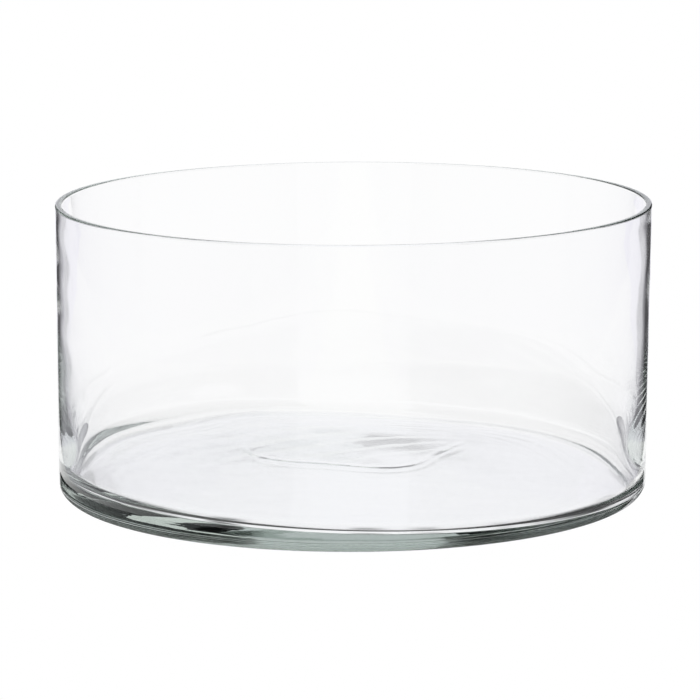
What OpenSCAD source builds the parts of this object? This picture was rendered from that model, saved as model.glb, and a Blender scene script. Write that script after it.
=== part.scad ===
// Crystallizing dish: a straight-sided, flat-bottomed bowl, blown in one piece of clear glass.
// +Z is up, millimetres, with the origin at the centre of the surface that it stands on.

/* [Wall] */
// Outside diameter
outer_d = 300; // [190:5:320]
// Height from the surface that it stands on to the top of the rim
height = 148; // [100:1:180]
// Thickness of the side wall at the rim
wall_t = 3.1; // [2:0.1:5]
// How much thicker the wall is at its foot
foot_extra_t = 1.6; // [0.4:0.2:4]
// Height below which the wall has its full foot thickness
taper_low = 20; // [18:1:30]
// Height above which the wall is as thin as at the rim
taper_high = 90; // [40:1:90]
// Radius of the fire-polished rim's inside and outside edges
rim_edge_r = 0.5; // [0.2:0.1:0.8]

/* [Base] */
// Thickness from the resting ring up to the inside floor
base_t = 8.4; // [6:0.2:9]
// Radius of the heel, the outside corner between the wall and the underside
heel_r = 7; // [4:0.5:10]
// Radius of the inside corner between the wall and the floor
fillet_r = 6; // [3:0.5:7]
// Width of the flat ring that it stands on
ring_w = 12; // [6:1:20]
// Depth of the shallow hollow inside that ring
hollow_depth = 0.8; // [0.4:0.2:3]
// Width over which the underside rises from the ring to that depth
hollow_rise_w = 60; // [20:5:60]

/* [Hidden] */
$fn = 180;
outer_r = outer_d / 2;
inner_r = outer_r - wall_t;
foot_r = inner_r - foot_extra_t;
rim_base_z = height - rim_edge_r;
hollow_r = outer_r - heel_r - ring_w;
// How far a cutting shape reaches past the surface that it opens
clear = 5;

// Half of a bowl's outline, from the axis out to radius r, with a round corner at its foot
module rounded_half(r, corner_r, top) {
    square([r - corner_r, top]);
    translate([0, corner_r])
        square([r, top - corner_r]);
    translate([r - corner_r, corner_r])
        circle(corner_r);
}

// The space that the dish holds: a cylinder at the foot, then a slight flare up to the rim's width
module inside_half() {
    translate([0, base_t])
        rounded_half(foot_r, fillet_r, taper_low - base_t);
    polygon([
        [0, taper_low],
        [foot_r, taper_low],
        [inner_r, taper_high],
        [inner_r, height + clear],
        [0, height + clear]
    ]);
}

// The hollow under the base: it rises from the ring to a flat middle
module hollow_half() {
    polygon([
        [0, -clear],
        [hollow_r, -clear],
        [hollow_r, 0],
        [hollow_r - hollow_rise_w, hollow_depth],
        [0, hollow_depth]
    ]);
}

// The rim's top: a narrow flat between two rounded edges
module rim_top() {
    translate([inner_r + rim_edge_r, rim_base_z])
        square([wall_t - 2 * rim_edge_r, rim_edge_r]);
    translate([inner_r + rim_edge_r, rim_base_z])
        circle(rim_edge_r);
    translate([outer_r - rim_edge_r, rim_base_z])
        circle(rim_edge_r);
}

// The dish's section: heel, wall and base, with the rim on top
module dish_section() {
    difference() {
        rounded_half(outer_r, heel_r, rim_base_z);
        inside_half();
        hollow_half();
    }
    rim_top();
}

module glass_dish() {
    color([0.80, 0.87, 0.86, 0.45])
        rotate_extrude()
            dish_section();
}

glass_dish();
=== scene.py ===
import math

import bpy
import numpy as np
from mathutils import Euler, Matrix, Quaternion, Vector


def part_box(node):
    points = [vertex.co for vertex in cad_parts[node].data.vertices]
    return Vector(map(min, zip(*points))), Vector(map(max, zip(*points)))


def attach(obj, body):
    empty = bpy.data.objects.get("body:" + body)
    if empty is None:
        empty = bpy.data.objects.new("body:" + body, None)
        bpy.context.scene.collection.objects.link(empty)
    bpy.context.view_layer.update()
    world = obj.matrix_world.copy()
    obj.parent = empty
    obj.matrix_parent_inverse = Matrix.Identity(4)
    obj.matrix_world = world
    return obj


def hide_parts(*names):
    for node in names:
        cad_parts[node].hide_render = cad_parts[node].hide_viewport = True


# A crystallizing dish, blown in one piece of clear glass. Everything is in metres, in the CAD's frame.
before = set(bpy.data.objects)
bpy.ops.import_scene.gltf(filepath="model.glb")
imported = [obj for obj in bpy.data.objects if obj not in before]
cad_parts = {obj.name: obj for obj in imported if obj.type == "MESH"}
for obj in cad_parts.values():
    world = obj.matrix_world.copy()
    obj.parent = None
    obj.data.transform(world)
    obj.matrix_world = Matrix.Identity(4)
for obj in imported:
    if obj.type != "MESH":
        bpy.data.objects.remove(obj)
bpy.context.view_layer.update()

MM = 0.001

# ---------------------------------------------------------------- the dish's sizes
low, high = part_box("glass_dish")
RADIUS = (high.x - low.x) / 2
HEIGHT = high.z
WALL = 3.1 * MM
BASE = 8.4 * MM
HEEL = 7.0 * MM
RIM_EDGE = 0.5 * MM
# how far the inside corner between wall and floor reaches in, and how far up
CORNER_IN = 6.0 * MM
CORNER_UP = 7.5 * MM
# how much thicker the wall is at its foot, and the heights between which that fades
THICK = 1.6 * MM
THICK_FROM = 20 * MM
THICK_TO = 90 * MM
# the width of the flat ring that the dish stands on, its inner radius, and the depth of the hollow within
RING = 12.0 * MM
RING_IN = RADIUS - HEEL - RING
HOLLOW = 0.8 * MM

# ---------------------------------------------------------------- the unevenness of blown glass
SEED = 11
# waves in the wall: how many, how often each may repeat round the dish and in a metre up it, and their size
SLOW_WAVES = (5, (2, 5), (1, 5), 0.05 * MM)
OUTER_WAVES = (8, (3, 14), (4, 16), 0.02 * MM)
INNER_WAVES = (10, (2, 9), (12, 45), 0.08 * MM)
# waves in the floor and under it: how many, between which lengths, and their size
FLOOR_WAVES = (12, (0.03, 0.09), 0.03 * MM)
FINE_WAVES = (12, (0.010, 0.022), 0.004 * MM)
UNDER_WAVES = (12, (0.02, 0.07), 0.02 * MM)
# the wall's waves fade out between these depths below the rim
STILL_FROM = 9 * MM
STILL_TO = 3 * MM
# outside, the wall's waves fade in between these heights
WAVY_FROM = 0.3 * HEEL
WAVY_TO = 1.6 * HEEL
# added to a point's distances from wall and floor, so that where they meet it belongs half to each
NEAR = 0.2 * MM
# how far the foot leans in on the +X side, and the radius within which nothing leans
LEAN = 2.0 * MM
LEAN_FROM = 0.5 * RADIUS
# thick places inside the wall's foot: degrees round, mm up, degrees wide, mm tall and mm deep
LUMPS = ((180, 24, 14, 10, 3.2), (0, 34, 14, 10, 3.6))
# how much higher the floor is at the -X side than in the middle
TILT = 4.4 * MM
# the part of the inside's depth, down from the rim, over which the floor's tilt and waves fade in
FLOOR_FADE = 0.3
# the pontil ring in the floor: its height, centre, radius and width
PONTIL = 0.10 * MM
PONTIL_X = -0.003
PONTIL_Y = 0.064
PONTIL_R = 0.058
PONTIL_W = 2.2 * MM
# how far the ring bows in and out, how often, and from where; it fades out between these places along Y
PONTIL_BOW = 4 * MM
PONTIL_BOWS = 5
PONTIL_TURN = 1
PONTIL_NONE = 0.075
PONTIL_FULL = 0.045
# ripples round the underside: their height and pitch, and the radii and edge over which they fade in and out
RIPPLE = 0.04 * MM
RIPPLE_PITCH = 6.0 * MM
RIPPLE_FROM = 0.085
RIPPLE_TO = 0.115
RIPPLE_EDGE = 4 * MM
# how far the ripples wander from round, and the waves that they wander by
WANDER = 4
WANDER_WAVES = (6, (0.04, 0.12), 1.0)
# the underside's waves fade in up to this height of the hollow
ARCH = 0.3 * HOLLOW

# ---------------------------------------------------------------- the mesh's fineness
ROUND_STEPS = 340
# how many points each stretch of the section has before it is resampled
POINTS = dict(under=400, ring=60, heel=200, outer=500, edge=60, top=40, wall=1200, corner=800, floor=500)
# the most that the section turns between two points, in radians, and the shortest step
TURN = 0.11
LEAST = 0.22 * MM
# the longest steps: on the floor and lower wall, under the base, near the rim, and elsewhere
LOW_STEP = 1.5 * MM
UNDER_STEP = 2.6 * MM
RIM_STEP = 1.0 * MM
WALL_STEP = 4.0 * MM
LOW_WALL = 46 * MM
RIM_ZONE = 12 * MM
# over how many samples the step length is evened out
EVEN_OUT = 41
TINY = 1e-6

# ---------------------------------------------------------------- the glass
GLASS_IOR = 1.52
TINT = (0.76, 0.80, 0.775, 1)
TINT_DEPTH = 10.0
# the faint dimples of the glass's skin: how many to a metre, and how high
PEEL_SCALE = 70.0
PEEL_DETAIL = 2.0
PEEL = 0.012 * MM

# ---------------------------------------------------------------- the camera
LENS = 201.0
SENSOR = 36.0
CAMERA_BACK = 13.0 * RADIUS
CAMERA_UP = 2.83 * RADIUS
PITCH = math.radians(10.26)
YAW = 0.0010
ROLL = -0.0024
CLIP = (0.1, 60.0)

# ---------------------------------------------------------------- the studio
WHITE = (1, 1, 1)
ROOM_TINT = (0.945, 0.935, 1.0)
SKY_TINT = (0.95, 0.955, 1.0)
SKY = 0.93
BOUNCES = 128
SEE_THROUGH = 16
# half the view's width a metre in front of the camera
VIEW_HALF = SENSOR / 2 / LENS
FLOOR_HALF = 8.0
BACKDROP_FAR = 9.0
BACKDROP_SPARE = 1.08
# the boxes beside the view: how far out, half their height, and where they start, change and end
BOX_SPARE = 1.02
BOX_TALL = 0.6
BOX_START = 0.034
BOX_NEAR = 1.7
BOX_FAR = 6.0
FRONT_BOX = 0.94
# the boxes' brightness, from seen straight on to edge on
LEFT_GRID = (
    (0, 0.94), (0.3, 0.9), (0.5, 0.84), (0.60, 0.72), (0.66, 0.6),
    (0.72, 0.3), (0.76, 0.08), (0.87, 0.08), (0.885, 1.0), (1, 1.0),
)
RIGHT_GRID = (
    (0, 0.94), (0.3, 0.9), (0.5, 0.84), (0.58, 0.7), (0.65, 0.45),
    (0.70, 0.08), (0.87, 0.08), (0.885, 1.0), (1, 1.0),
)
# the louvre's slope, and its brightness, from seen level to seen from steeply below
LOUVRE_TILT = math.radians(64)
LOUVRE = ((0, 1), (0.15, 1), (0.22, 0.05), (1, 0.05))
# the floor, and a little over it the table under the dish
FLOOR_Z = -0.0004
SHADE_Z = -0.0002
TABLE = 1.0
TABLE_TINT = (0.98, 0.983, 1.0)
# where the table has a painted contact shadow round the place the glass stands on it, and how dark, from seen
# straight on to edge on
PAINTED_CONTACT_IN = 120 * MM
PAINTED_CONTACT_OUT = 143.2 * MM
PAINTED_CONTACT_SHADE = ((0, 0), (0.10, 0), (0.17, 0.98), (0.45, 0.98), (0.6, 0), (1, 0))
# a painted shadow on the table under the heel's overhang: its outer radius, and how dark, from seen straight
# on to edge on
EDGE_SHADE_OUT = 152 * MM
EDGE_SHADE = ((0, 0.95), (1, 0.95))
AROUND_STEPS = 360
# in degrees: the painted contact shadow is darkest this far either side of the front, and patchy in between
FRONT = -90
ENDS_AT = 70
ENDS_WIDE = 28
PATCH_REACH = 40
PATCH = 0.9
PATCH_WAVES = ((0.31, 0.6), (0.13, 1.9))
# in degrees from the front: the painted shadow under the heel and the dark band that only reflections show
# fade out between these
FRONT_FULL = 90
FRONT_NONE = 104
# a dark band for a painted dark reflection along the heel: how far out it stands, how tall it is, and how
# bright
DARK_BAND_OUT = 4 * MM
DARK_BAND_TALL = 9 * MM
DARK_BAND_GLOW = 0.03


# ---------------------------------------------------------------- helpers and the camera
def place(name, data):
    """A new object in the scene."""
    ob = bpy.data.objects.new(name, data)
    bpy.context.scene.collection.objects.link(ob)
    return ob


def smooth(start, end, value):
    """0 before the start and 1 past the end, with a soft rise between. The end may be below the start."""
    t = np.clip((value - start) / (end - start), 0, 1)
    return t * t * (3 - 2 * t)


def apart(degrees, centre):
    """How far a direction is from another, from -180 to 180 degrees."""
    return (degrees - centre + 180) % 360 - 180


def make_camera():
    data = bpy.data.cameras.new("camera")
    data.lens = LENS
    data.sensor_width = SENSOR
    data.clip_start, data.clip_end = CLIP
    cam = place("camera", data)
    cam.location = (0, -CAMERA_BACK, CAMERA_UP)
    aim = Euler((math.pi / 2 - PITCH, 0, YAW)).to_quaternion()
    cam.rotation_mode = "QUATERNION"
    cam.rotation_quaternion = aim @ Quaternion((0, 0, 1), ROLL)
    bpy.context.scene.camera = cam
    return cam


# ---------------------------------------------------------------- the section
def arc(centre, radius, start, end, steps):
    """Points on an arc, in degrees, its end left out."""
    a = np.radians(np.linspace(start, end, steps, endpoint=False))
    return np.column_stack((centre[0] + radius * np.cos(a), centre[1] + radius * np.sin(a)))


def line(start, end, steps):
    """Points on a straight line, its end left out."""
    t = np.linspace(0, 1, steps, endpoint=False)[:, None]
    return np.array(start) * (1 - t) + np.array(end) * t


def outside():
    """The section from the middle of the underside, out along it and up to the rim's foot."""
    r = np.linspace(0, RING_IN, POINTS["under"], endpoint=False)
    under = np.column_stack((r, HOLLOW * (0.5 + 0.5 * np.cos(math.pi * r / RING_IN))))
    ring = line((RING_IN, 0), (RADIUS - HEEL, 0), POINTS["ring"])
    heel = arc((RADIUS - HEEL, HEEL), HEEL, -90, 0, POINTS["heel"])
    wall = line((RADIUS, HEEL), (RADIUS, HEIGHT - RIM_EDGE), POINTS["outer"])
    return np.vstack((under, ring, heel, wall))


def rim():
    """The section over the rim: a narrow flat between two rounded edges."""
    top = HEIGHT - RIM_EDGE
    inside = RADIUS - WALL
    return np.vstack((
        arc((RADIUS - RIM_EDGE, top), RIM_EDGE, 0, 90, POINTS["edge"]),
        line((RADIUS - RIM_EDGE, HEIGHT), (inside + RIM_EDGE, HEIGHT), POINTS["top"]),
        arc((inside + RIM_EDGE, top), RIM_EDGE, 90, 180, POINTS["edge"]),
    ))


def within():
    """The section from the rim down the inside and along the floor to its middle."""
    z = np.linspace(HEIGHT - RIM_EDGE, BASE + CORNER_UP, POINTS["wall"], endpoint=False)
    wall = np.column_stack((RADIUS - WALL - THICK * (1 - smooth(THICK_FROM, THICK_TO, z)), z))
    foot = RADIUS - WALL - THICK
    turn = np.linspace(0, math.pi / 2, POINTS["corner"], endpoint=False)
    corner = np.column_stack((foot - CORNER_IN * (1 - np.cos(turn)), BASE + CORNER_UP * (1 - np.sin(turn))))
    floor = line((foot - CORNER_IN, BASE), (0, BASE), POINTS["floor"])
    return np.vstack((wall, corner, floor, [(0, BASE)]))


def longest_step(z):
    """The longest step along the section at a height."""
    lower = (z < LOW_WALL) & (z > BASE - MM)
    step = np.where(lower, LOW_STEP, np.where(z < BASE, UNDER_STEP, WALL_STEP))
    return np.where(z > HEIGHT - RIM_ZONE, RIM_STEP, step)


def resampled(points):
    """The same section with points close together where it bends and far apart where it runs straight."""
    seg = np.diff(points, axis=0)
    keep = np.hypot(seg[:, 0], seg[:, 1]) > TINY * MM
    points = points[np.append(True, keep)]
    seg = np.diff(points, axis=0)
    length = np.hypot(seg[:, 0], seg[:, 1])
    angle = np.unwrap(np.arctan2(seg[:, 1], seg[:, 0]))
    bend = np.abs(np.diff(angle)) / (0.5 * (length[1:] + length[:-1]))
    bend = np.concatenate(([bend[0]], bend, [bend[-1]]))
    along = np.concatenate(([0], np.cumsum(length)))
    step = np.clip(TURN / np.maximum(bend, TINY), LEAST, longest_step(points[:, 1]))
    even = np.arange(0, along[-1], LEAST / 2)
    padded = np.pad(np.interp(even, along, step), EVEN_OUT // 2, mode="edge")
    step = np.convolve(padded, np.ones(EVEN_OUT) / EVEN_OUT, mode="valid")
    count = np.concatenate(([0], np.cumsum(np.diff(even) / (0.5 * (step[1:] + step[:-1])))))
    total = int(round(count[-1]))
    where = np.interp(np.linspace(0, count[-1], total + 1), count, even)
    where[-1] = along[-1]
    return np.column_stack((np.interp(where, along, points[:, 0]), np.interp(where, along, points[:, 1])))


# ---------------------------------------------------------------- the unevenness
def wall_waves(rng, count, around, along, size):
    """Random soft waves over a wall: turns round it, waves a metre up it, a phase and a size for each."""
    turns = rng.integers(around[0], around[1] + 1, count)
    rate = rng.uniform(along[0], along[1], count) * rng.choice((-1, 1), count)
    phase = rng.uniform(0, 2 * math.pi, count)
    amount = size * rng.uniform(0.4, 1.0, count) / math.sqrt(count)
    return turns, rate, phase, amount


def wall_sum(terms, angle, height):
    total = np.zeros_like(angle)
    for turns, rate, phase, amount in zip(*terms):
        total += amount * np.sin(turns * angle + 2 * math.pi * rate * height + phase)
    return total


def flat_waves(rng, count, pitch, size):
    """Random soft waves over a floor: waves a metre along X and along Y, a phase and a size for each."""
    heading = rng.uniform(0, 2 * math.pi, count)
    rate = 1 / rng.uniform(pitch[0], pitch[1], count)
    phase = rng.uniform(0, 2 * math.pi, count)
    amount = size * rng.uniform(0.4, 1.0, count) / math.sqrt(count)
    return rate * np.cos(heading), rate * np.sin(heading), phase, amount


def flat_sum(terms, x, y):
    total = np.zeros_like(x)
    for along_x, along_y, phase, amount in zip(*terms):
        total += amount * np.sin(2 * math.pi * (along_x * x + along_y * y) + phase)
    return total


def pontil_ring(x, y):
    """The low ring that the pontil left in the floor, to one side of its middle."""
    turned = np.arctan2(y - PONTIL_Y, x - PONTIL_X)
    bow = PONTIL_BOW * np.sin(PONTIL_BOWS * turned + PONTIL_TURN)
    off = np.hypot(x - PONTIL_X, y - PONTIL_Y) - PONTIL_R - bow
    return PONTIL * np.exp(-((off / PONTIL_W) ** 2)) * smooth(PONTIL_NONE, PONTIL_FULL, y)


def lump(a, z, turned, up, wide, tall, deep):
    """How far a soft thick place stands out of the wall at each angle and height."""
    off = apart(np.degrees(a), turned)
    return deep * MM * np.exp(-((off / wide) ** 2) - ((z - up * MM) / (tall * MM)) ** 2)


def blown(points):
    """The section turned round the axis, and made uneven: x, y and z, a row for each place round the dish."""
    rng = np.random.default_rng(SEED)
    r0 = points[:, 0]
    z0 = points[:, 1]
    # the outside ends at the rim's highest point, and of its flat at the innermost one
    top = z0 > HEIGHT - TINY * MM
    crown = int(np.flatnonzero(top)[-1])
    inside = np.arange(len(points)) > crown
    angle = np.linspace(0, 2 * math.pi, ROUND_STEPS, endpoint=False)[:, None]
    a = np.repeat(angle, len(points), axis=1)
    r = np.repeat(r0[None, :], ROUND_STEPS, axis=0)
    z = np.repeat(z0[None, :], ROUND_STEPS, axis=0)
    x = r * np.cos(a)
    y = r * np.sin(a)

    # how much of each point is wall, the rest being floor or underside
    off_wall = np.maximum(RADIUS - WALL - r, 0) + NEAR
    off_floor = np.maximum(z - BASE, 0) + NEAR
    wall_in = off_floor / (off_wall + off_floor)
    wall_out = smooth(WAVY_FROM, WAVY_TO, z)
    wall = np.where(inside, wall_in, wall_out)

    slow = wall_sum(wall_waves(rng, *SLOW_WAVES), a, z)
    outer = wall_sum(wall_waves(rng, *OUTER_WAVES), a, z)
    inner = wall_sum(wall_waves(rng, *INNER_WAVES), a, z)
    still = 1 - smooth(HEIGHT - STILL_FROM, HEIGHT - STILL_TO, z)
    r = r + wall * still * (slow + np.where(inside, inner, outer))
    r = r - LEAN * (0.5 + 0.5 * np.cos(a)) * (1 - z / HEIGHT) * smooth(LEAN_FROM, RADIUS, r)
    for spec in LUMPS:
        r = r - np.where(inside, wall_in * lump(a, z, *spec), 0)

    # the floor tilts, waves and has its ring, and the wall above it follows less and less
    floor_wave = flat_sum(flat_waves(rng, *FLOOR_WAVES), x, y)
    fine_wave = flat_sum(flat_waves(rng, *FINE_WAVES), x, y)
    lift = -TILT * x / RADIUS + floor_wave + fine_wave + pontil_ring(x, y)
    depth = (HEIGHT - z) / (HEIGHT - BASE)
    z = z + np.where(inside, depth * lift * smooth(0, FLOOR_FADE, depth), 0)

    # the underside waves over its hollow and ripples towards its ring
    under_wave = flat_sum(flat_waves(rng, *UNDER_WAVES), x, y)
    wander = flat_sum(flat_waves(rng, *WANDER_WAVES), x, y)
    ripple = 0.5 + 0.5 * np.sin(2 * math.pi * r / RIPPLE_PITCH + WANDER * wander)
    ripple = RIPPLE * ripple * smooth(RIPPLE_FROM, RIPPLE_TO, r) * smooth(RING_IN, RING_IN - RIPPLE_EDGE, r)
    arch = smooth(0, ARCH, z0)
    z = z + np.where(inside, 0, (1 - wall_out) * (arch * under_wave + ripple))
    return r * np.cos(a), r * np.sin(a), z


def dish_mesh():
    """The dish as one closed mesh of four-sided faces, with a fan of triangles round each middle."""
    x, y, z = blown(resampled(np.vstack((outside(), rim(), within()))))
    rows, cols = x.shape
    wide = cols - 2
    ring = np.column_stack((x[:, 1:-1].ravel(), y[:, 1:-1].ravel(), z[:, 1:-1].ravel()))
    middles = np.array([(0, 0, z[:, 0].mean()), (0, 0, z[:, -1].mean())])
    under = len(ring)
    floor = under + 1
    faces = []
    for row in range(rows):
        here = row * wide
        there = (row + 1) % rows * wide
        for j in range(wide - 1):
            faces.append((here + j, there + j, there + j + 1, here + j + 1))
    for row in range(rows):
        here = row * wide
        there = (row + 1) % rows * wide
        faces.append((under, there, here))
        faces.append((floor, here + wide - 1, there + wide - 1))
    mesh = bpy.data.meshes.new("dish")
    mesh.from_pydata([tuple(v) for v in np.vstack((ring, middles))], [], faces)
    mesh.validate()
    for face in mesh.polygons:
        face.use_smooth = True
    return mesh


# ---------------------------------------------------------------- materials
def blank(name):
    """A new material with an output and nothing else: the material, its output, its nodes and its links."""
    mat = bpy.data.materials.new(name)
    mat.use_nodes = True
    nodes = mat.node_tree.nodes
    nodes.clear()
    return mat, nodes.new("ShaderNodeOutputMaterial"), nodes, mat.node_tree.links


def glass():
    """Clear glass with a grey-green depth and the faint dimples of a blown skin."""
    mat, out, nodes, links = blank("clear_glass")
    shader = nodes.new("ShaderNodeBsdfPrincipled")
    shader.inputs["Base Color"].default_value = (*WHITE, 1)
    shader.inputs["Roughness"].default_value = 0.0
    shader.inputs["IOR"].default_value = GLASS_IOR
    shader.inputs["Transmission Weight"].default_value = 1.0
    links.new(shader.outputs["BSDF"], out.inputs["Surface"])
    where = nodes.new("ShaderNodeTexCoord")
    peel = nodes.new("ShaderNodeTexNoise")
    peel.inputs["Scale"].default_value = PEEL_SCALE
    peel.inputs["Detail"].default_value = PEEL_DETAIL
    links.new(where.outputs["Object"], peel.inputs["Vector"])
    bump = nodes.new("ShaderNodeBump")
    bump.inputs["Distance"].default_value = PEEL
    bump.inputs["Strength"].default_value = 1.0
    links.new(peel.outputs["Fac"], bump.inputs["Height"])
    links.new(bump.outputs["Normal"], shader.inputs["Normal"])
    tint = nodes.new("ShaderNodeVolumeAbsorption")
    tint.inputs["Color"].default_value = TINT
    tint.inputs["Density"].default_value = TINT_DEPTH
    links.new(tint.outputs["Volume"], out.inputs["Volume"])
    return mat


def glow(name, colour, strength):
    """A material that gives off an even light."""
    mat, out, nodes, links = blank(name)
    light = nodes.new("ShaderNodeEmission")
    light.inputs["Color"].default_value = (*colour, 1)
    light.inputs["Strength"].default_value = strength
    links.new(light.outputs["Emission"], out.inputs["Surface"])
    return mat


def strength_of(mat):
    """The strength socket of a glowing material."""
    light = next(n for n in mat.node_tree.nodes if n.type == "EMISSION")
    return light.inputs["Strength"]


def ramp_of(nodes, links, source, stops):
    """A grey ramp with a stop at each place, fed from a value."""
    ramp = nodes.new("ShaderNodeValToRGB")
    spots = ramp.color_ramp.elements
    spots[0].position = stops[0][0]
    spots[1].position = stops[-1][0]
    for at, value in stops[1:-1]:
        spots.new(at)
    for spot, (at, value) in zip(spots, stops):
        spot.color = (value, value, value, 1)
    links.new(source, ramp.inputs["Fac"])
    return ramp.outputs["Color"]


def facing(nodes, links, normal=None):
    """How nearly edge on a face is seen, from 0 to 1. A normal in the object's axes may replace its own."""
    weight = nodes.new("ShaderNodeLayerWeight")
    weight.inputs["Blend"].default_value = 0.5
    if normal:
        turn = nodes.new("ShaderNodeVectorTransform")
        turn.vector_type = "VECTOR"
        turn.convert_from = "OBJECT"
        turn.convert_to = "WORLD"
        turn.inputs["Vector"].default_value = normal
        links.new(turn.outputs["Vector"], weight.inputs["Normal"])
    return weight.outputs["Facing"]


def math_of(nodes, links, operation, a, b):
    """A math node over two values, each a number or another node's output."""
    node = nodes.new("ShaderNodeMath")
    node.operation = operation
    for socket, value in zip(node.inputs, (a, b)):
        if isinstance(value, float):
            socket.default_value = value
        else:
            links.new(value, socket)
    return node.outputs["Value"]


def gridded(name, side, grid):
    """A soft box behind a grid and a louvre: the grid darkens it along its face, the louvre from below."""
    mat = glow(name, ROOM_TINT, 1.0)
    nodes = mat.node_tree.nodes
    links = mat.node_tree.links
    across = -side * math.cos(LOUVRE_TILT)
    y = math.sin(LOUVRE_TILT) * math.cos(PITCH)
    z = math.sin(LOUVRE_TILT) * math.sin(PITCH)
    above = facing(nodes, links, (across, y, z))
    below = facing(nodes, links, (across, -y, -z))
    rising = math_of(nodes, links, "SUBTRACT", above, below)
    tone = ramp_of(nodes, links, facing(nodes, links), grid)
    shade = ramp_of(nodes, links, rising, LOUVRE)
    links.new(math_of(nodes, links, "MULTIPLY", tone, shade), strength_of(mat))
    return mat


def painted_table_shade(name, colour, lit, ramp):
    """A part of the table with painted shade: its tone times a ramp, which runs from seen straight on to edge
    on.
    """
    mat = glow(name, colour, lit)
    nodes = mat.node_tree.nodes
    links = mat.node_tree.links
    dark = ramp_of(nodes, links, facing(nodes, links), ramp)
    tone = nodes.new("ShaderNodeAttribute")
    tone.attribute_name = "tone"
    deep = math_of(nodes, links, "MULTIPLY", dark, tone.outputs["Fac"])
    links.new(math_of(nodes, links, "SUBTRACT", lit, deep), strength_of(mat))
    return mat


# ---------------------------------------------------------------- the studio
def staged(name, corners, faces, mat, parent=None):
    """A piece of the studio, which isn't part of the dish."""
    mesh = bpy.data.meshes.new(name)
    mesh.from_pydata(corners, [], faces)
    mesh.materials.append(mat)
    ob = place(name, mesh)
    ob.parent = parent
    return ob


def level_square(name, half, z, mat, parent=None):
    corners = [(-half, -half, z), (half, -half, z), (half, half, z), (-half, half, z)]
    return staged(name, corners, [(0, 1, 2, 3)], mat, parent)


def side_card(name, side, near, far, mat, cam):
    """An upright card just past one side of the view, from one distance along it to another."""
    edge = side * VIEW_HALF * BOX_SPARE
    ends = ((near, -BOX_TALL), (far, -BOX_TALL), (far, BOX_TALL), (near, BOX_TALL))
    corners = [(at * edge, up, -at) for at, up in ends]
    return staged(name, corners, [(0, 1, 2, 3)], mat, cam)


def strip(name, first, second, mat):
    """A row of faces between two rows of points."""
    count = len(first)
    faces = [(i, i + 1, count + i + 1, count + i) for i in range(count - 1)]
    return staged(name, first + second, faces, mat)


def circle(radius, turns, heights):
    return [(radius * math.cos(t), radius * math.sin(t), z) for t, z in zip(turns, heights)]


def annulus(name, r0, r1, mat, tone=None):
    """A flat ring on the table. The tone says how dark it is at each place round it."""
    turns = np.linspace(0, 2 * math.pi, AROUND_STEPS + 1)
    heights = [SHADE_Z] * len(turns)
    ob = strip(name, circle(r0, turns, heights), circle(r1, turns, heights), mat)
    if tone:
        data = ob.data.color_attributes.new("tone", "FLOAT_COLOR", "POINT").data
        values = [tone(t) for t in turns]
        for i, value in enumerate(values + values):
            data[i].color = (value, value, value, 1)
    return ob


def painted_contact_tone(turn):
    """How dark the painted contact shadow is at each place round the dish, from 0 to 1."""
    off = apart(math.degrees(turn), FRONT)
    ends = math.exp(-(((abs(off) - ENDS_AT) / ENDS_WIDE) ** 4))
    if abs(off) >= PATCH_REACH:
        return ends
    first, second = (math.sin(off * rate + phase) for rate, phase in PATCH_WAVES)
    return min(1, ends + PATCH * max(0, first * second))


def front_tone(turn):
    """1 along the front half of the dish, fading to 0 at its sides."""
    return float(smooth(FRONT_NONE, FRONT_FULL, abs(apart(math.degrees(turn), FRONT))))


def dark_reflection_band(name, mat):
    """A low dark band round the front of the dish, close to its heel, that only reflections show: it paints a
    dark reflected edge along the heel.
    """
    turns = np.linspace(-math.pi, 0, AROUND_STEPS // 2 + 1)
    heights = [DARK_BAND_TALL * front_tone(t) for t in turns]
    radius = RADIUS + DARK_BAND_OUT
    ob = strip(name, circle(radius, turns, [FLOOR_Z] * len(turns)), circle(radius, turns, heights), mat)
    ob.visible_camera = False
    ob.visible_transmission = False


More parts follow.
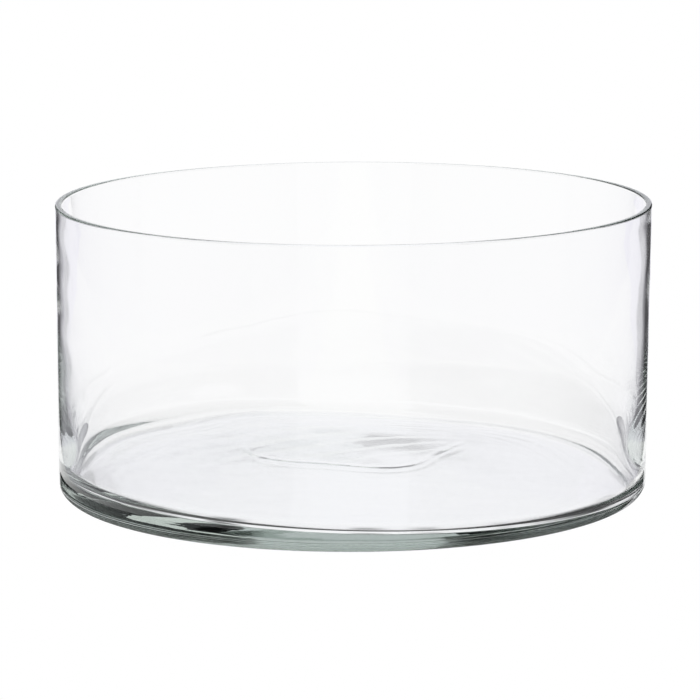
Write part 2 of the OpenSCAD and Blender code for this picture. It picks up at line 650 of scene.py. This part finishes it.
def table():
    """The table under the dish, with painted shadow where the dish stands on it and under its heel, and a
    dark band that paints a dark reflection along the heel.
    """
    annulus("table_inside", 0.0, PAINTED_CONTACT_IN, glow("lit_table", TABLE_TINT, TABLE))
    # painted contact shadow: a ring of the table made darker where the glass stands on it, patchy across the
    # front
    painted_contact = painted_table_shade("painted_contact", TABLE_TINT, TABLE, PAINTED_CONTACT_SHADE)
    annulus("table_painted_contact", PAINTED_CONTACT_IN, PAINTED_CONTACT_OUT, painted_contact, painted_contact_tone)
    # painted shadow under the heel's overhang, which the camera sees only through the glass and in
    # reflections
    shade = painted_table_shade("edge_shade", WHITE, 1.0, EDGE_SHADE)
    edge = annulus("table_edge_shade", PAINTED_CONTACT_OUT, EDGE_SHADE_OUT, shade, front_tone)
    edge.visible_camera = False
    # a dark band that only reflections show, which paints a dark reflected edge on the heel
    dark_reflection_band("dark_reflection_band", glow("dark_reflection_band", ROOM_TINT, DARK_BAND_GLOW))


def sky():
    world = bpy.data.worlds.new("studio")
    world.use_nodes = True
    background = world.node_tree.nodes["Background"]
    background.inputs["Color"].default_value = (*SKY_TINT, 1)
    background.inputs["Strength"].default_value = SKY
    bpy.context.scene.world = world


def studio(cam):
    """A white floor and backdrop, a soft box along each side of the view, the table and the sky."""
    white = glow("white_card", WHITE, 1.0)
    level_square("floor", FLOOR_HALF, FLOOR_Z, white)
    level_square("backdrop", BACKDROP_FAR * VIEW_HALF * BACKDROP_SPARE, -BACKDROP_FAR, white, cam)
    for side, name, grid in ((-1, "left_box", LEFT_GRID), (1, "right_box", RIGHT_GRID)):
        front = name + "_front"
        side_card(name, side, BOX_NEAR, BOX_FAR, gridded(name, side, grid), cam)
        side_card(front, side, BOX_START, BOX_NEAR, glow(front, ROOM_TINT, FRONT_BOX), cam)
    table()
    sky()


# ---------------------------------------------------------------- the scene
camera = make_camera()
dish = place("dish", dish_mesh())
dish.data.materials.append(glass())
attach(dish, "root")
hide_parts("glass_dish")
studio(camera)

scene = bpy.context.scene
scene.view_settings.view_transform = "Standard"
scene.cycles.max_bounces = BOUNCES
scene.cycles.transmission_bounces = BOUNCES
scene.cycles.glossy_bounces = BOUNCES
scene.cycles.transparent_max_bounces = SEE_THROUGH
scene.cycles.caustics_refractive = True
scene.cycles.caustics_reflective = True
